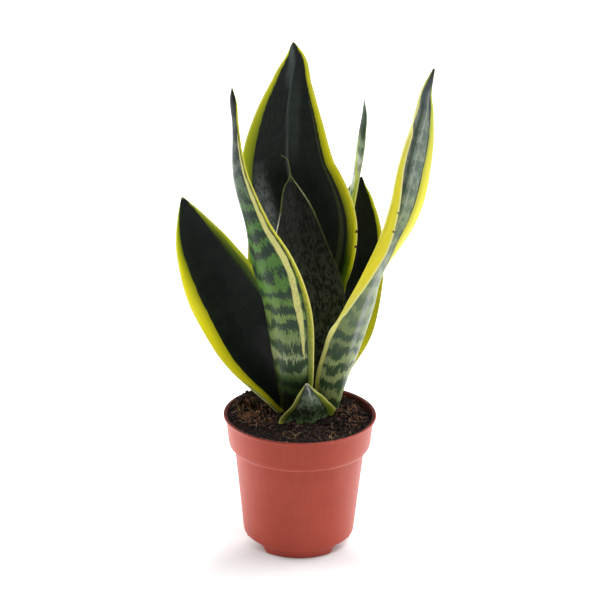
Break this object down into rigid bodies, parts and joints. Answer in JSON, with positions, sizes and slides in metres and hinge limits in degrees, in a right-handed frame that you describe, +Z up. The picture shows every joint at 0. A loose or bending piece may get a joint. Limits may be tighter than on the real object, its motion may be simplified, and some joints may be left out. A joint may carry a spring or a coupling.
{
  "type": "potted snake plant",
  "caption": "Upright houseplant with stiff, pointed, dark green leaves edged in yellow, in a tapered terracotta-coloured plastic nursery pot with a wide collar and feet.",
  "frame": {"origin": "on the pot's axis, on the surface that the pot's feet stand on, which is within 2 mm of the middle of the whole plant's bounding box seen from above", "axes": "+Z up, along the pot's axis; -Y is the front, the side the picture was taken from; +X is to the right seen from the front"},
  "size_m": [0.1922, 0.1229, 0.3901],
  "materials": {
    "pot_plastic": "satin",
    "potting_mix": "matte",
    "leaf": "satin"
  },
  "bodies": {
    "root": {"pot": "pot_plastic", "soil": "potting_mix", "leaf_back_tall": "leaf", "leaf_centre": "leaf", "leaf_right_back": "leaf", "leaf_left": "leaf", "leaf_front_left": "leaf", "leaf_front_right": "leaf", "leaf_slim_back": "leaf", "leaf_front_small": "leaf"}
  },
  "joints": []
}
